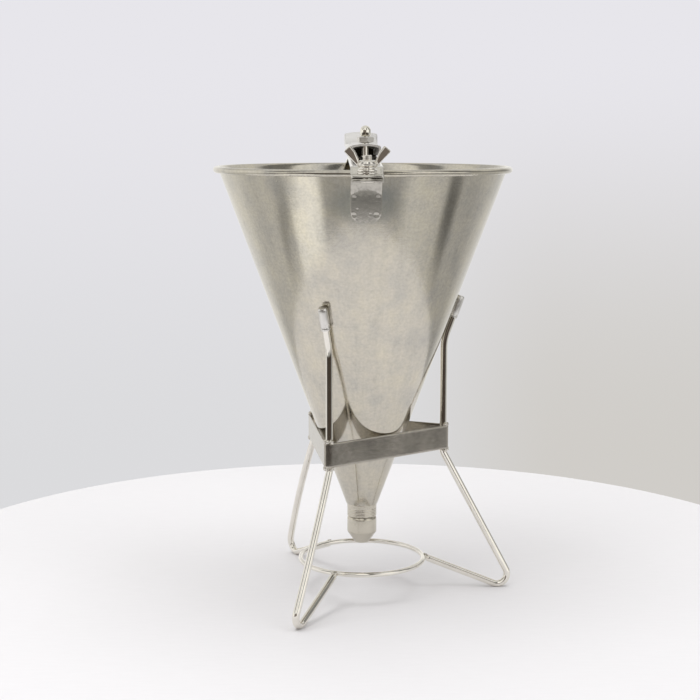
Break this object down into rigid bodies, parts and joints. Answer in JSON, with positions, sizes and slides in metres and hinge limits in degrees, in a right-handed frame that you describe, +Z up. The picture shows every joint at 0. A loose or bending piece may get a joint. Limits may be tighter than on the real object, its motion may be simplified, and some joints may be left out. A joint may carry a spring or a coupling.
{
  "type": "pancake batter dispenser",
  "caption": "Conical metal hand funnel with a thumb-lever valve, clamped bridge and D handle, standing in a bent-wire tripod holder with a base ring.",
  "frame": {"origin": "middle of the bottom face of the part's box, at ground level under the feet", "axes": "+Z up along the funnel's axis, +Y towards the handle and the lever's thumb end, +X to the right seen from the wing nut"},
  "size_m": [0.2044, 0.2692, 0.3203],
  "materials": {
    "base_ring": "plated steel wire, satin bright",
    "leg_right": "plated steel wire, satin bright",
    "leg_rear": "plated steel wire, satin bright",
    "leg_front": "plated steel wire, satin bright",
    "tip_cap_right": "dull grey sleeve",
    "tip_cap_rear": "dull grey sleeve",
    "tip_cap_front": "dull grey sleeve",
    "cradle_band": "darker brushed flat steel",
    "funnel_cone": "satin stainless sheet",
    "outlet_collar": "turned stainless",
    "nozzle": "turned stainless",
    "front_bracket": "polished stainless strip",
    "rear_bracket": "polished stainless strip",
    "bridge_handle": "satin stainless strip",
    "clamp_stud": "turned stainless",
    "clamp_washer": "plain stainless",
    "wing_nut": "cast stainless, polished hub",
    "valve_rod": "polished stainless rod",
    "valve_plug": "turned stainless",
    "lock_nut": "dull stainless",
    "cap_nut": "mirror polished",
    "thumb_lever": "satin stainless sheet",
    "pivot_bracket": "satin stainless sheet",
    "pivot_pin": "turned stainless",
    "return_spring": "spring wire",
    "rear_rivet_left": "stainless rivet",
    "rear_rivet_right": "stainless rivet"
  },
  "bodies": {
    "stand": {"base_ring": "base_ring", "cradle_band": "cradle_band", "leg_right": "leg_right", "leg_rear": "leg_rear", "leg_front": "leg_front", "tip_cap_right": "tip_cap_right", "tip_cap_rear": "tip_cap_rear", "tip_cap_front": "tip_cap_front"},
    "funnel": {"funnel_cone": "funnel_cone", "outlet_collar": "outlet_collar", "front_bracket": "front_bracket", "rear_bracket": "rear_bracket", "bridge_handle": "bridge_handle", "clamp_stud": "clamp_stud", "clamp_washer": "clamp_washer", "pivot_bracket": "pivot_bracket", "pivot_pin": "pivot_pin", "return_spring": "return_spring", "rear_rivet_left": "rear_rivet_left", "rear_rivet_right": "rear_rivet_right"},
    "lever": {"thumb_lever": "thumb_lever"},
    "valve": {"valve_rod": "valve_rod", "valve_plug": "valve_plug", "lock_nut": "lock_nut", "cap_nut": "cap_nut"},
    "wing": {"wing_nut": "wing_nut"},
    "spout": {"nozzle": "nozzle"}
  },
  "joints": [
    {"name": "funnel_lift", "type": "slide", "parent": "stand", "child": "funnel", "axis": [0, 0, 1], "range_m": [0, 0.18]},
    {"name": "lever_press", "type": "hinge", "parent": "funnel", "child": "lever", "pos_m": [-0.00041, 0.07544, 0.3013], "axis": [-1, 0, 0], "range_deg": [0, 6.87], "stiffness_Nm_per_rad": 2.5, "springref_deg": -6.88, "deforming": ["return_spring"]},
    {"name": "valve_lift", "type": "slide", "parent": "funnel", "child": "valve", "axis": [0, 0, 1], "range_m": [0, 0.0115]},
    {"name": "wing_nut_turn", "type": "hinge", "parent": "funnel", "child": "wing", "pos_m": [-0.00221, -0.12531, 0.2927], "axis": [0, 0, 1], "continuous": true},
    {"name": "nozzle_turn", "type": "hinge", "parent": "funnel", "child": "spout", "pos_m": [-0.00221, -0.01256, 0.0529], "axis": [0, 0, 1], "continuous": true}
  ],
  "couplings": [
    {"joint": "valve_lift", "follows": "lever_press", "m_per_rad": 0.0945}
  ]
}
